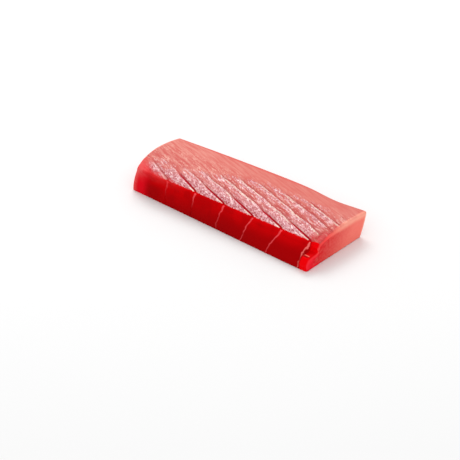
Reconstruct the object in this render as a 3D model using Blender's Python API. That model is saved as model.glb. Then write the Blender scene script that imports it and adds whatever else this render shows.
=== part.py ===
"""Raw tuna loin: one trimmed block of fish, cut across at both ends, lying on its flat side.

Metres, Z up. X runs along the loin, Y across it from the lean red side (-Y) to the paler
side (+Y). The block rests on Z = 0. Its muscle is built of segments, and each seam between
two of them shows as a slit in the top, a notch in the front top edge and a crease down the
front face.
"""
import math

import bmesh
import bpy
import numpy as np

# Plan of the block: Y of each long edge at the left and the right end
FRONT_FOOT_Y = (-0.0390, -0.0480)
FRONT_EDGE_Y = (-0.0335, -0.0300)
BACK_EDGE_Y = (0.0390, 0.0480)
BACK_BOW = 0.0026                 # how far the back edge bows out at its middle
BACK_DENT, BACK_DENT_X, BACK_DENT_RUN = 0.0038, 0.0900, 0.0280
BACK_FOOT_Y = (0.0310, 0.0365)

# Heights at the left and the right end
FRONT_EDGE_Z = (0.0270, 0.0262)
BACK_EDGE_Z = (0.0275, 0.0285)
CROWN = (0.0060, 0.0036)          # how far the top rises above its two edges
CROWN_LEAN = 0.75                 # under 1 moves the crown's peak towards the front
FRONT_BELLY = (0.0015, 0.0030)    # how far the front face bulges
BACK_BELLY = 0.0008

# End cuts: X where each meets the middle of the block, and how far it is skewed
LEFT_CUT_X, LEFT_CUT_SKEW = -0.1270, math.radians(3.4)
RIGHT_CUT_X, RIGHT_CUT_SKEW = 0.1224, math.radians(7.0)
LEFT_CUT_BULGE = 0.0020

# Rounding of the long edges
FOOT_ROUND, FRONT_ROUND, BACK_ROUND = 0.0016, 0.0042, 0.0022
# Rounding of the edges round each end cut
LEFT_END_ROUND, RIGHT_END_ROUND = 0.0036, 0.0022
FOOT_LIFT = 0.4                   # share of that rounding by which the base lifts there
# The front left corner curves back in plan over this length, by this much at the top
CORNER_LENGTH, CORNER_SETBACK, CORNER_DROP = 0.034, 0.0060, 0.0015

# Seams between the muscle segments, by X where they cross the front top edge
FIRST_SEAM_X, SEAM_PITCH, SEAMS = -0.0830, 0.0385, 6
SEAM_LEAN = (-0.0062, 0.0135)   # how far a seam at each end moves to -X down the front face
LEAN_FADE_SHARE = 0.1    # share of the length, at each end, over which that lean comes in
LAST_BEND, LAST_BEND_SHARES = 0.4, (0.80, 0.93)   # the last seam leans most near the top
SEAM_CREASE = 0.0009     # depth of its crease in the front face
SEAM_HALF_WIDTH = 0.0011
SCALLOP = 0.0008         # how far the front edge bows out between two seams
PILLOW = 0.0010          # how far the top bows up between two seams, at the front edge
PILLOW_REACH = 0.0180    # how far back from the front edge that fades out
SEAM_SLOPE = 3.1         # X per Y of a seam across the top
SLOPED_LESS = 2          # the first seams, which run less aslant: by SLOPE_DROP for each step
SLOPE_DROP = 0.4
SLOPE_PASSES = 30        # rounds in which front_x settles
SEAM_START = 0.0026      # how far back from the front edge a seam turns aslant, and over
SEAM_BEND = 0.0020       # what half length

# Slits in the top along the seams
SLIT_LENGTH_Y = 0.0150   # how far back from that turn a slit reaches
SLIT_DEPTH = 0.0016
SLIT_WALL = 0.0006       # run of its steep far side
SLIT_BANK = 0.0030       # run of its gentle near side
SLIT_LEAD = 0.0090       # how far in front of it the cutter starts
SLIT_COVER = 0.0040      # how far it stands above the top
SLIT_FADE = 0.9          # share of depth and width lost at its back end
SLIT_STEPS = 18

# Short last segment: its top edge stands back, and its front face has a ledge under a hollow
LAST_SETBACK = 0.0050
LEDGE_HEIGHT = 0.0152
LEDGE_IN, LEDGE_OUT = 0.0080, 0.0042
LEDGE_HALF_BAND = 0.0008
LEDGE_FADE = (0.62, 0.87) # shares of the height between which the upper hollow fades out
BULGE_RISE = 0.4         # share of the height by which the lower bulge is full
CREASE_RISE = 0.15       # share of the height by which a crease is full

# Mesh density
STATION_STEP = 0.0062
BOTTOM_STEPS, FRONT_STEPS, TOP_STEPS, BACK_STEPS, ROUND_STEPS, END_STEPS = 7, 10, 16, 4, 3, 3
TOP_CROWD = 1.5          # over 1 moves the top's points towards the front edge
SMOOTH_ANGLE = math.radians(32)

FLESH_COLOUR = (0.62, 0.075, 0.065, 1.0)
FLESH_ROUGHNESS = 0.35


def clear_scene():
    for item in list(bpy.data.objects):
        bpy.data.objects.remove(item, do_unlink=True)


def mix(pair, t):
    return pair[0] + (pair[1] - pair[0]) * t


def smooth_step(a, b, value):
    t = np.clip((value - a) / (b - a), 0.0, 1.0)
    return t * t * (3.0 - 2.0 * t)


def seam_positions():
    return FIRST_SEAM_X + SEAM_PITCH * np.arange(SEAMS)


def along(t, y):
    """X of the point at share t of the way between the end cuts, at this Y."""
    left = LEFT_CUT_X + y * math.tan(LEFT_CUT_SKEW)
    left = left - LEFT_CUT_BULGE * (1.0 - (y / BACK_EDGE_Y[0]) ** 2)
    right = RIGHT_CUT_X + y * math.tan(RIGHT_CUT_SKEW)
    return left + (right - left) * t


def share_of(x, y):
    """The t for which along(t, y) is x."""
    left, right = along(0.0, y), along(1.0, y)
    return (x - left) / (right - left)


def corner_turn(t):
    """1 at the left end, 0 past the rounded front left corner."""
    run = CORNER_LENGTH / (RIGHT_CUT_X - LEFT_CUT_X)
    return max(0.0, 1.0 - t / run) ** 2


def seam_distance(x):
    """Distance along X to the nearest seam of the front face."""
    return float(np.abs(seam_positions() - x).min())


def last_segment(x):
    """0 up to the last seam and 1 past it."""
    return smooth_step(0.0, 2.0 * SEAM_HALF_WIDTH, x - seam_positions()[-1])


def bow_between_seams(x):
    """0 at each seam and 1 half way between two, and from there to the left end."""
    share = np.mod((x - FIRST_SEAM_X) / SEAM_PITCH, 1.0)
    bow = 1.0 - (2.0 * share - 1.0) ** 2
    return np.where(x < FIRST_SEAM_X - 0.5 * SEAM_PITCH, 1.0, bow)


def aslant(back):
    """How far a seam has run aslant at this distance back, and the share of its full slope."""
    share = np.clip((back - SEAM_START + SEAM_BEND) / (2.0 * SEAM_BEND), 0.0, 1.0)
    return np.maximum(back - SEAM_START, SEAM_BEND * share ** 2), share


def slope_of(index):
    """Slope of the seam with this number, which need not be whole."""
    return SEAM_SLOPE - SLOPE_DROP * np.clip(SLOPED_LESS - index, 0.0, SLOPED_LESS)


def front_x(x, back):
    """X at which the seam line through this place meets the front edge."""
    run = aslant(back)[0]
    found = x + SEAM_SLOPE * run
    for _ in range(SLOPE_PASSES):
        found = x + slope_of((found - FIRST_SEAM_X) / SEAM_PITCH) * run
    return found


def pillow(t, y, edge_y):
    """Rise of the top at share t and this Y, which follows the seams back from the front edge."""
    x, back = along(t, y), np.maximum(y - mix(FRONT_EDGE_Y, t), 0.0)
    fade = 1.0 - smooth_step(0.0, PILLOW_REACH, y - edge_y)
    return PILLOW * bow_between_seams(front_x(x, back)) * fade


def section_corners(t):
    """Front foot, front edge, back edge and back foot of the section at t, as (y, z)."""
    turn = corner_turn(t)
    front_edge = mix(FRONT_EDGE_Y, t) + CORNER_SETBACK * turn
    edge_x = along(t, front_edge)
    front_edge = front_edge - SCALLOP * bow_between_seams(edge_x)
    front_edge = front_edge + LAST_SETBACK * last_segment(edge_x)
    back_edge = mix(BACK_EDGE_Y, t) + BACK_BOW * 4.0 * t * (1.0 - t)
    dent = ((along(t, back_edge) - BACK_DENT_X) / BACK_DENT_RUN) ** 2
    back_edge = back_edge - BACK_DENT * math.exp(-dent)
    return (
        (mix(FRONT_FOOT_Y, t), 0.0),
        (front_edge, mix(FRONT_EDGE_Z, t) - CORNER_DROP * turn),
        (back_edge, mix(BACK_EDGE_Z, t)),
        (mix(BACK_FOOT_Y, t), 0.0),
    )


def bowed(start, end, bow, steps, lean=1.0, crowd=1.0):
    """Points from start to end, ends included, bowed to the left of the way by bow.

    A lean under 1 moves the bow's peak towards the start, and a crowd over 1 moves the points.
    """
    start, end = np.array(start), np.array(end)
    way = end - start
    normal = np.array([-way[1], way[0]]) / np.hypot(*way)
    s = np.linspace(0.0, 1.0, steps + 1)[:, None] ** crowd
    leant = s ** lean
    return start + way * s + normal * bow * 4.0 * leant * (1.0 - leant)


def rounded(before, corner, after, radius):
    """Points of the curve that rounds a corner, without its two ends, and those ends."""
    before, corner, after = (np.array(p) for p in (before, corner, after))
    start = corner + (before - corner) / np.hypot(*(before - corner)) * radius
    end = corner + (after - corner) / np.hypot(*(after - corner)) * radius
    s = np.linspace(0.0, 1.0, ROUND_STEPS + 1)[1:-1, None]
    return start, (1 - s) ** 2 * start + 2 * s * (1 - s) * corner + s * s * end, end


def front_relief(points, x, inset):
    """Presses the seam creases and the last segment's ledge into the front face."""
    height = points[:, 1] + inset
    rise = height / mix(FRONT_EDGE_Z, 0.5)
    crease = SEAM_CREASE * max(0.0, 1.0 - seam_distance(x) / SEAM_HALF_WIDTH)
    points[:, 0] += crease * smooth_step(0.0, CREASE_RISE, rise)
    upper = smooth_step(LEDGE_HEIGHT - LEDGE_HALF_BAND, LEDGE_HEIGHT + LEDGE_HALF_BAND, height)
    inward = LEDGE_IN * upper * (1.0 - smooth_step(*LEDGE_FADE, rise))
    outward = LEDGE_OUT * (1.0 - upper) * smooth_step(0.0, BULGE_RISE, rise)
    points[:, 0] += last_segment(x) * (inward - outward)


def section(t, inset):
    """Closed ring of (y, z) points at share t, drawn in by inset near an end cut."""
    foot, edge, back, heel = section_corners(t)
    foot = (foot[0] + inset, FOOT_LIFT * inset)
    edge = (edge[0] + inset, edge[1] - inset)
    back = (back[0] - inset, back[1] - inset)
    heel = (heel[0] - inset, FOOT_LIFT * inset)
    foot_start, foot_arc, foot_end = rounded(heel, foot, edge, FOOT_ROUND)
    edge_start, edge_arc, edge_end = rounded(foot, edge, back, FRONT_ROUND)
    back_start, back_arc, back_end = rounded(edge, back, heel, BACK_ROUND)
    heel_start, heel_arc, heel_end = rounded(back, heel, foot, FOOT_ROUND)
    front = bowed(foot_end, edge_start, mix(FRONT_BELLY, t), FRONT_STEPS)
    front_relief(front, along(t, edge[0]), inset)
    top = bowed(edge_end, back_start, mix(CROWN, t), TOP_STEPS, CROWN_LEAN, TOP_CROWD)
    upper = np.concatenate([edge_arc, top])
    upper[:, 1] += pillow(t, upper[:, 0], edge[0])
    rear = bowed(back_end, heel_start, BACK_BELLY, BACK_STEPS)
    base = bowed(heel_end, foot_start, 0.0, BOTTOM_STEPS)
    return np.concatenate([front, upper, back_arc, rear, heel_arc, base, foot_arc])


def stations():
    """(t, inset) of every section from the left end to the right."""
    length = RIGHT_CUT_X - LEFT_CUT_X
    angles = np.linspace(0.0, 0.5 * math.pi, END_STEPS + 1)
    left = [(LEFT_END_ROUND / length * (1 - math.sin(a)), LEFT_END_ROUND * (1 - math.cos(a)))
            for a in angles[::-1]]
    right = [(1 - RIGHT_END_ROUND / length * (1 - math.sin(a)),
              RIGHT_END_ROUND * (1 - math.cos(a))) for a in angles]
    edge_y = mix(FRONT_EDGE_Y, 0.5)
    stops = [share_of(x + off, edge_y) for x in seam_positions()
             for off in (-SEAM_HALF_WIDTH, 0.0, SEAM_HALF_WIDTH)]
    stops.append(share_of(seam_positions()[-1] + 2.0 * SEAM_HALF_WIDTH, edge_y))
    stops = [left[-1][0]] + stops + [right[0][0]]
    between = []
    for a, b in zip(stops[:-1], stops[1:]):
        steps = max(1, round((b - a) * length / STATION_STEP))
        between += list(np.linspace(a, b, steps + 1)[1:])
    return left + [(t, 0.0) for t in between[:-1]] + right


def place(ring, t):
    """The ring's points in space, leaning back down the front face as the seams do."""
    y, z = ring[:, 0], ring[:, 1]
    drop = 1.0 - np.clip(z / mix(FRONT_EDGE_Z, t), 0.0, 1.0)
    bend = mix((1.0, LAST_BEND), smooth_step(*LAST_BEND_SHARES, t))
    lean = mix(SEAM_LEAN, t) * drop ** bend
    near_front = 1.0 - smooth_step(mix(FRONT_FOOT_Y, t), 0.0, y)
    inside = smooth_step(0.0, LEAN_FADE_SHARE, min(t, 1.0 - t))
    x = along(t, y) - lean * near_front * inside
    return np.column_stack([x, y, z])


def block():
    """The loin without its slits, as a closed mesh."""
    mesh = bmesh.new()
    rings = []
    for t, inset in stations():
        ring = [mesh.verts.new(point) for point in place(section(t, inset), t)]
        rings.append(ring)
    count = len(rings[0])
    for low, high in zip(rings[:-1], rings[1:]):
        for i in range(count):
            j = (i + 1) % count
            mesh.faces.new((low[i], low[j], high[j], high[i]))
    mesh.faces.new(rings[0][::-1])
    mesh.faces.new(rings[-1])
    bmesh.ops.recalc_face_normals(mesh, faces=mesh.faces)
    return mesh


def top_height(x, y):
    """Height of the smooth top at (x, y)."""
    t = share_of(x, y)
    ring = section(t, 0.0)
    upper = ring[FRONT_STEPS + 1:FRONT_STEPS + ROUND_STEPS + TOP_STEPS + 1]
    return float(np.interp(y, upper[:, 0], upper[:, 1]))


def slit_cutter(index):
    """Wedge along one seam: steep far side, gentle near side, shallower towards its back end."""
    mesh = bmesh.new()
    seam_x = seam_positions()[index]
    edge_y = mix(FRONT_EDGE_Y, share_of(seam_x, mix(FRONT_EDGE_Y, 0.5)))
    rings = []
    for step in range(SLIT_STEPS + 1):
        s = step / SLIT_STEPS
        back = SEAM_START - SLIT_LEAD + (SLIT_LENGTH_Y + SLIT_LEAD) * s
        run, share = aslant(back)
        x = seam_x - slope_of(index) * run
        y = edge_y + back
        slope = slope_of(index) * share
        across = np.array([1.0, slope]) / math.hypot(1.0, slope)
        fade = 1.0 - SLIT_FADE * s ** 1.5
        floor = top_height(x, max(y, edge_y)) - SLIT_DEPTH * fade
        middle = np.array([x, y])
        widen = 1.0 + SLIT_COVER / SLIT_DEPTH
        far = middle + across * SLIT_WALL * widen
        bank = mix((SLIT_WALL, SLIT_BANK * fade), share)
        near = middle - across * bank * widen
        top = floor + SLIT_DEPTH * fade + SLIT_COVER
        ring = [mesh.verts.new((middle[0], middle[1], floor)),
                mesh.verts.new((far[0], far[1], top)),
                mesh.verts.new((near[0], near[1], top))]
        rings.append(ring)
    for low, high in zip(rings[:-1], rings[1:]):
        for i in range(3):
            j = (i + 1) % 3
            mesh.faces.new((low[i], low[j], high[j], high[i]))
    mesh.faces.new(rings[0][::-1])
    mesh.faces.new(rings[-1])
    bmesh.ops.recalc_face_normals(mesh, faces=mesh.faces)
    return mesh


def add_object(name, mesh):
    data = bpy.data.meshes.new(name)
    mesh.to_mesh(data)
    mesh.free()
    made = bpy.data.objects.new(name, data)
    bpy.context.scene.collection.objects.link(made)
    return made


def flesh_material():
    material = bpy.data.materials.new("flesh")
    material.use_nodes = True
    shader = material.node_tree.nodes["Principled BSDF"]
    shader.inputs["Base Color"].default_value = FLESH_COLOUR
    shader.inputs["Roughness"].default_value = FLESH_ROUGHNESS
    shader.inputs["Metallic"].default_value = 0.0
    return material


def centre(target):
    """Moves the mesh so that the origin is under the middle of its bounding box."""
    corners = np.array([vertex.co for vertex in target.data.vertices])
    low, high = corners.min(axis=0), corners.max(axis=0)
    for vertex in target.data.vertices:
        vertex.co.x -= 0.5 * (low[0] + high[0])
        vertex.co.y -= 0.5 * (low[1] + high[1])
        vertex.co.z -= low[2]


def cut(target, cutter):
    modifier = target.modifiers.new("slit", "BOOLEAN")
    modifier.operation = "DIFFERENCE"
    modifier.object = cutter
    bpy.context.view_layer.objects.active = target
    bpy.ops.object.modifier_apply(modifier=modifier.name)
    bpy.data.objects.remove(cutter, do_unlink=True)


def main():
    clear_scene()
    loin = add_object("loin", block())
    for index in range(SEAMS):
        cut(loin, add_object(f"slit_{index}", slit_cutter(index)))
    centre(loin)
    loin.data.materials.clear()
    loin.data.materials.append(flesh_material())
    bpy.ops.object.select_all(action="DESELECT")
    loin.select_set(True)
    bpy.context.view_layer.objects.active = loin
    bpy.ops.object.shade_smooth()
    loin.data.set_sharp_from_angle(angle=SMOOTH_ANGLE)


main()
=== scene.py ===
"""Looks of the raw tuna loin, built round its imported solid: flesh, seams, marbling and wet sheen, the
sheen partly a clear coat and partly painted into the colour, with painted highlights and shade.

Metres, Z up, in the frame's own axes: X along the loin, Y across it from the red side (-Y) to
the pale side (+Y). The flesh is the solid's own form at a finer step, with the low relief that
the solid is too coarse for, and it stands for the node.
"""

import math

import bpy
import numpy as np
from mathutils import Matrix, Vector


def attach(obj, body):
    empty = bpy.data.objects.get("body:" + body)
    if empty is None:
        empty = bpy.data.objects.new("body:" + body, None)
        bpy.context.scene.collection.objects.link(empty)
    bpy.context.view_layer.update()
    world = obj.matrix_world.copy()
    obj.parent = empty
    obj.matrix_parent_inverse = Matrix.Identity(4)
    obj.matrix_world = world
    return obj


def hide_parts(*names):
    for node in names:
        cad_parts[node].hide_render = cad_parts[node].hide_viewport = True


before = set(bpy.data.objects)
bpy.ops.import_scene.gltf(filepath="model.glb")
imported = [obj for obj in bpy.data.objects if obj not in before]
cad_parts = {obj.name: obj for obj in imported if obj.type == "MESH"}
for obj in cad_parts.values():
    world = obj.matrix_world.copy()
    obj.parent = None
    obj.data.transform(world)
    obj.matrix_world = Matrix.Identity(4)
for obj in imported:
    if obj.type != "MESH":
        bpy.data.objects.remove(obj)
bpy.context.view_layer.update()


def srgb(red, green, blue):
    """Linear colour of a screen colour."""
    share = np.array([red, green, blue]) / 255.0
    linear = np.where(share <= 0.04045, share / 12.92, ((share + 0.055) / 1.055) ** 2.4)
    return (*(float(value) for value in linear), 1.0)


# Form of the block, as in the solid. A pair of Y or Z is for the left and the right end
FRONT_FOOT_Y = (-0.0390, -0.0480)
FRONT_EDGE_Y = (-0.0335, -0.0300)
BACK_EDGE_Y = (0.0390, 0.0480)
BACK_BOW = 0.0026
BACK_DENT, BACK_DENT_X, BACK_DENT_RUN = 0.0038, 0.0900, 0.0280
BACK_FOOT_Y = (0.0310, 0.0365)
FRONT_EDGE_Z = (0.0270, 0.0262)
BACK_EDGE_Z = (0.0275, 0.0285)
CROWN = (0.0060, 0.0036)
CROWN_LEAN = 0.75
FRONT_BELLY = (0.0015, 0.0030)
BACK_BELLY = 0.0008
LEFT_CUT_X, LEFT_CUT_SKEW = -0.1270, math.radians(3.4)
RIGHT_CUT_X, RIGHT_CUT_SKEW = 0.1224, math.radians(7.0)
LEFT_CUT_BULGE = 0.0020
FOOT_ROUND, FRONT_ROUND, BACK_ROUND = 0.0016, 0.0042, 0.0022
LEFT_END_ROUND, RIGHT_END_ROUND = 0.0036, 0.0022
FOOT_LIFT = 0.4
CORNER_LENGTH, CORNER_SETBACK, CORNER_DROP = 0.034, 0.0060, 0.0015

# Seams, as in the solid: X where they cross the front edge, their lean and slope, creases and swell
FIRST_SEAM_X, SEAM_PITCH, SEAMS = -0.0830, 0.0385, 6
SEAM_LEAN = (-0.0062, 0.0135)
LEAN_FADE_SHARE = 0.1
LAST_BEND, LAST_BEND_SHARES = 0.4, (0.80, 0.93)
SEAM_CREASE = 0.0009
SEAM_HALF_WIDTH = 0.0011
SCALLOP = 0.0008
PILLOW, PILLOW_REACH = 0.0010, 0.0180
SEAM_SLOPE, SLOPED_LESS, SLOPE_DROP, SLOPE_PASSES = 3.1, 2, 0.4, 30
CREASE_RISE = 0.15
SEAM_START, SEAM_BEND = 0.0026, 0.0020

# Slits along the seams, where the solid has them, with their walls drawn a little softer
SLIT_LENGTH_Y, SLIT_DEPTH, SLIT_WALL, SLIT_BANK = 0.0150, 0.0014, 0.0011, 0.0026
SLIT_FADE, SLIT_FADE_POWER = 0.9, 1.5   # share of the depth lost on the way back, and how late
SLIT_END = (0.9, 1.15)       # shares of the length between which a slit ends
SLIT_FLAT = 1.25             # over 1 makes its floor flat

# Short last segment, as in the solid: its top edge stands back, over a hollow and a ledge
LAST_SETBACK = 0.0050
LEDGE_HEIGHT, LEDGE_IN, LEDGE_OUT, LEDGE_HALF_BAND = 0.0152, 0.0080, 0.0042, 0.0008
LEDGE_FADE, BULGE_RISE = (0.62, 0.87), 0.4

# Finer relief, which the solid leaves out. A noise is given by its cell size and its seed
CREST = 0.00012              # height of the low step along a seam past its slit
CREST_RUN = 0.0022           # how far in front of the seam it rises, and how far behind it fades
CREST_START, CREST_END = (0.004, 0.014), (0.050, 0.066)   # back from the front edge
CREST_LOSS = 0.75            # share of its height lost past that end
CREST_CHANGE, CREST_NOISE = 0.8, (0.006, 6)
WANDER = 0.035               # how far a seam strays, as a share of the pitch
WANDER_START = (0.002, 0.020)   # back from the front edge
WANDER_NOISE, WANDER_FINE_NOISE, WANDER_FINE = (0.019, 1), (0.0045, 2), 0.35
BRIDGE_REACH = 0.016         # how far back the hollow behind the rounded front edge is bridged
GRAIN_HEIGHT, GRAIN_END = 0.00009, (0.045, 0.060)
GRAIN_NOISE, GRAIN_FINE_NOISE, GRAIN_FINE = (0.0016, 3), (0.0009, 4), 0.7
CALM_RUN = (0.0006, 0.0040)  # distance from the end cuts over which the relief sets in
FRONT_WAVE, WAVE_NOISE = 0.0009, (0.0036, 5)   # how far a seam line wavers on the front face
WAVE_START = 0.2             # share of the way down at which it wavers fully
WAVE_CHANGE = 0.05           # how soon the wavering changes from one seam to the next
DIP = 0.2                    # how far back a seam lies for each step below the top

# The mesh: its steps, how the faces of the end cuts close, and its flat layout
STATION_STEP = 0.00098
FRONT_STEPS, TOP_STEPS, BACK_STEPS, BOTTOM_STEPS = 44, 166, 22, 24
EDGE_STEPS, ROUND_STEPS, END_STEPS, CAP_RINGS = 12, 5, 6, 11
TOP_EVEN = 0.3               # share of even spacing in the top's points; the rest crowd forward
TOP_CROWD = 1.7              # over 1 crowds them more
CAP_SHARE = 0.96             # share of the way to its middle line at which a cut's face is closed
CAP_MIDDLE = 0.32            # height of that line, as a share of the block's
CAP_ENDS = (0.85, 0.5)       # how far in from front and back it ends, as shares of the height
TOP_START = (0.15, 0.7)      # shares of the rounded front edge over which the top sets in
LAYOUT_GAP = 0.0015          # between the parts of the flat layout

NOISE_CELLS = 256            # along each side of a noise's table
MILLIMETRES = 1000.0         # in a metre
TINY = 1e-12                 # keeps a division from being by 0

# The pale zone of the top, partly pale marbling and partly painted sheen: Y of its far limit, and how that
# changes along the loin
SHEEN_LIMIT, SHEEN_RISE, SHEEN_RUN = -0.006, 0.034, (-0.090, 0.020)
SHEEN_FALL, SHEEN_FALL_RUN = 0.005, (0.090, 0.125)
SHEEN_FADE, SHEEN_PAST = 0.024, 0.2   # run over which it ends, and the share of that past the limit
# Where the red front gives way to the pale top, back from the front edge
RIM_BACK, RIM_NOTCH, RIM_NOTCH_POWER = 0.0022, 0.0015, 4
RIM_CORNER, RIM_CORNER_RUN = 0.0060, (-0.120, -0.090)
RIM_LAST, RIM_LAST_RUN = 0.0026, (SEAMS - 1.0, SEAMS - 0.92)   # less far back on the last segment

# Colours, as they show on screen
CORAL_NEAR, CORAL_FAR, FAR_RIM = srgb(197, 86, 80), srgb(208, 110, 101), srgb(210, 90, 82)
# Trough: redder band behind each seam, partly the flesh's own red and partly painted shade where the step
# tilts away; the line is painted shade behind the step
TROUGH_RED_AND_SHADE, SHADE_LINE, STREAK = srgb(178, 54, 54), srgb(158, 32, 38), srgb(230, 168, 154)
# The pale pink and near-white flecks are partly pale marbling and partly painted sheen and glints of the
# wet top
PALE_AND_SHEEN, WHITE_FLECK_AND_GLINT, SPOT = srgb(213, 149, 157), srgb(252, 228, 222), srgb(150, 12, 34)
# Slit lips are partly pale septum and partly painted highlight; the slit floor is deeper red flesh with
# painted shade
CREAM, LIP_SEPTUM_AND_HIGHLIGHT, SLIT_RED_AND_SHADE = srgb(226, 192, 176), srgb(246, 226, 208), srgb(178, 12, 36)
RIGHT_RED, LEFT_RED, BLUSH = srgb(192, 48, 50), srgb(222, 84, 80), srgb(204, 64, 68)
# Deep red of the front: darker towards the bottom and brighter towards the top edge, as painted shade and
# light
DEEP_SHADED, DEEP_LIT = srgb(150, 0, 3), srgb(206, 0, 4)
# The left corner's bright red is painted light on its rounding; its coral is partly streaks of the flesh
# and partly painted light
CORNER_LIT_RED, CORNER_CORAL_AND_LIGHT = srgb(222, 7, 27), srgb(230, 86, 86)
# The last segment's red is partly its own and partly a painted glow of light through the thin flesh
LAST_RED_AND_GLOW, LAST_DARK, CRACK = srgb(242, 0, 6), srgb(160, 0, 6), srgb(250, 120, 104)
SEAM_PINK, LAST_PINK = srgb(246, 84, 90), srgb(250, 122, 116)
CUT_NEAR, CUT_MIDDLE, CUT_FAR = srgb(216, 18, 30), srgb(228, 80, 74), srgb(248, 122, 109)
# The low cut colour is painted light: brighter red low at the front of each cut, where it lies in shade
CUT_STREAK, CUT_LOW_LIT = srgb(252, 150, 136), srgb(252, 34, 52)
# Rim colours are a painted highlight on the rounded edges of the cuts
CUT_HIGHLIGHT_NEAR, CUT_HIGHLIGHT_FAR = srgb(255, 76, 74), srgb(255, 168, 146)
FLOOR_COLOUR = srgb(236, 236, 236)

# Fields of the flesh's material that the mesh holds
MESH_FIELDS = (
    "number", "pitch", "back", "rim", "sheen", "slit", "top", "cut", "inner", "left", "right", "rear",
)
SEAM_WAY, HATCH_WAY = math.atan(1.0 / SEAM_SLOPE), math.radians(42.0)
# Noises: turn in plan, how far drawn out that way, scale, detail and roughness
NOISES = {
    "grain": (SEAM_WAY, 2.2, 0.66, 3.0, 0.7),
    "hatch": (HATCH_WAY, 2.0, 0.6, 2.0, 0.6),
    "patch": (SEAM_WAY, 2.2, 0.11, 2.0, 0.5),
    "band": (SEAM_WAY, 8.0, 0.34, 3.0, 0.55),
    "strand": (SEAM_WAY, 4.5, 0.5, 3.0, 0.65),
    "blotch": (0.0, 1.0, 0.06, 2.0, 0.5),
    "nick": (0.0, 1.0, 0.8, 2.0, 0.5),
    "wobble": (0.0, 1.0, 0.2, 1.0, 0.5),
}
# Distances from an end that grow with the way back: the end, and the growth for each step back
SLANTS = {"pale_right": ("right", 0.1), "red_right": ("right", 0.12), "red_left": ("left", 0.25)}

FRAY, STRAND_SWING, WOBBLE = 5.0, 2.8, 2.6   # how much the noises move the seams' colours
PATCH_RAGGED, STRAND_RAGGED = 1.6, 1.8       # and the limit of the pale zone

# Runs: a field, where its smooth step starts and ends, and what from and to if not from 0 to 1
RAGGED_RUNS = (("sheen", 0.0, 0.3), ("sheen", 1.0, 0.8))
NEAR_RUN = ("extent", 0.1, 0.7)
RISE_START = ("left", 40.0, 120.0, 0.05, 0.3)
PALE_BY_EDGE = ("back", 24.0, 8.0, 0.0, 0.85)
PALE_RISE = ("strandy", "rise_start", 1.0, 0.0, 0.95)
PALE_RUNS = (("near",), ("behind", 1.8, 0.2, 1.0, 0.4), ("pale_right", 8.0, 24.0), ("left", 6.0, 18.0),
             ("left", 20.0, 130.0, 0.88, 1.0))
GRAIN_SPECKLE, HATCH_SPECKLE = ("grain", 0.42, 0.56, 0.35, 0.89), ("hatch", 0.42, 0.58, 0.0, 0.54)
BLUSH_DEPTH = ("left", 70.0, 30.0, 0.5, 9.0)
LEFT_BLUSH = (("rim", "blush_depth", 0.0), ("left", 78.0, 58.0), ("left", 20.0, 32.0))
RIGHT_BLUSH = (("right", 27.0, 9.0), ("back", 20.0, 7.0, 0.0, 0.8))
CREST_WIDTH = ("band", 0.3, 0.7, 1.2, 4.0)
LIP_WIDTH, LIP_SWING, LIP_INNER = ("back", 8.0, 3.0, 1.4, 4.8), 4.0, 0.5
GASH_RUNS = (("slit", 0.15, 0.5), ("nearest", 1.5, 0.95), ("number", 0.4, 0.6, 0.3, 1.0))
RIM_SOFTNESS, NICK_DEPTH = ("left", 55.0, 14.0, 0.25, 4.2), 3.0
CORNER_RUNS = (
    (("left", 9.0, 2.0),),
    (("left", 21.0, 8.0), ("back", -6.0, 3.0)),
    (("left", 80.0, 20.0), ("back", -3.0, 3.0, 0.0, 0.35)),
)
CORNER_STRANDS = ("strand", 0.3, 0.65, 0.45, 1.1)
BEFORE_LAST_SEAM = (SEAMS - 1.5, SEAMS - 1.4)
LINE_WIDTH = (("height", 18.0, 27.0, 1.0, 1.7), ("number", *BEFORE_LAST_SEAM, 1.0, 0.7))
LINE_INNER = 0.3
LATE_RUN = ("number", 1.4, 2.6)
FADE_START, FADE_END, FADE_LEAST = ("late", 0.0, 1.0, 10.0, 5.0), ("late", 0.0, 1.0, 23.0, 19.0), 0.65
REACH_HEIGHT, REACH_LEAN = 20.0, 0.7
EDGE_WIDTH, EDGE_INNER = ("back", 10.0, 38.0, 1.6, 4.4), 0.2
WET_RUNS = (("back", 30.0, 60.0, 1.0, 0.4), ("top",))
COAT_PALE, COAT_PLAIN, COAT_LEAST, COAT_ROUGHNESS = 0.5, 0.12, 0.01, 0.28
FLESH_SPECULAR, FLESH_ROUGHNESS = 0.01, ("grain", 0.3, 0.7, 0.38, 0.55)
BUMP_HEIGHT = 0.00006
FLOOR_ROUGHNESS = 0.8

# Layers: a colour, how strongly it is laid on, and the runs that it follows
MARKED = ("left", 70.0, 130.0, 0.4, 1.0)
BY_SLIT = (("back", 18.0, 12.0), ("near",), ("number", SEAMS - 0.4, SEAMS - 0.6))
LAST_SEGMENT = ("number", SEAMS - 0.97, SEAMS - 0.93)
INMOST = (LAST_SEGMENT, ("right", 2.4, 3.6), ("height", 20.0, 18.5), ("height", 13.0, 14.0))
CORAL_LAYERS = (
    (CORAL_FAR, 1.0, ("back", 20.0, 62.0)),
    # Troughs behind the seams: partly redder flesh, partly painted shade
    (TROUGH_RED_AND_SHADE, 0.8, ("strandy", 0.6, 0.0), MARKED, ("back", 4.0, 14.0), ("near", 0.0, 1.0, 0.12, 0.9)),
    (STREAK, 1.0, ("band", 0.35, 0.7), ("left", 140.0, 40.0, 0.2, 0.42)),
    (STREAK, 0.85, ("strand", 0.47, 0.59), ("hatch", 0.42, 0.54), ("patch", 0.22, 0.48),
     ("back", 66.0, 36.0)),
    (FAR_RIM, 0.7, ("rear", 3.4, 0.4)),
)
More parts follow.
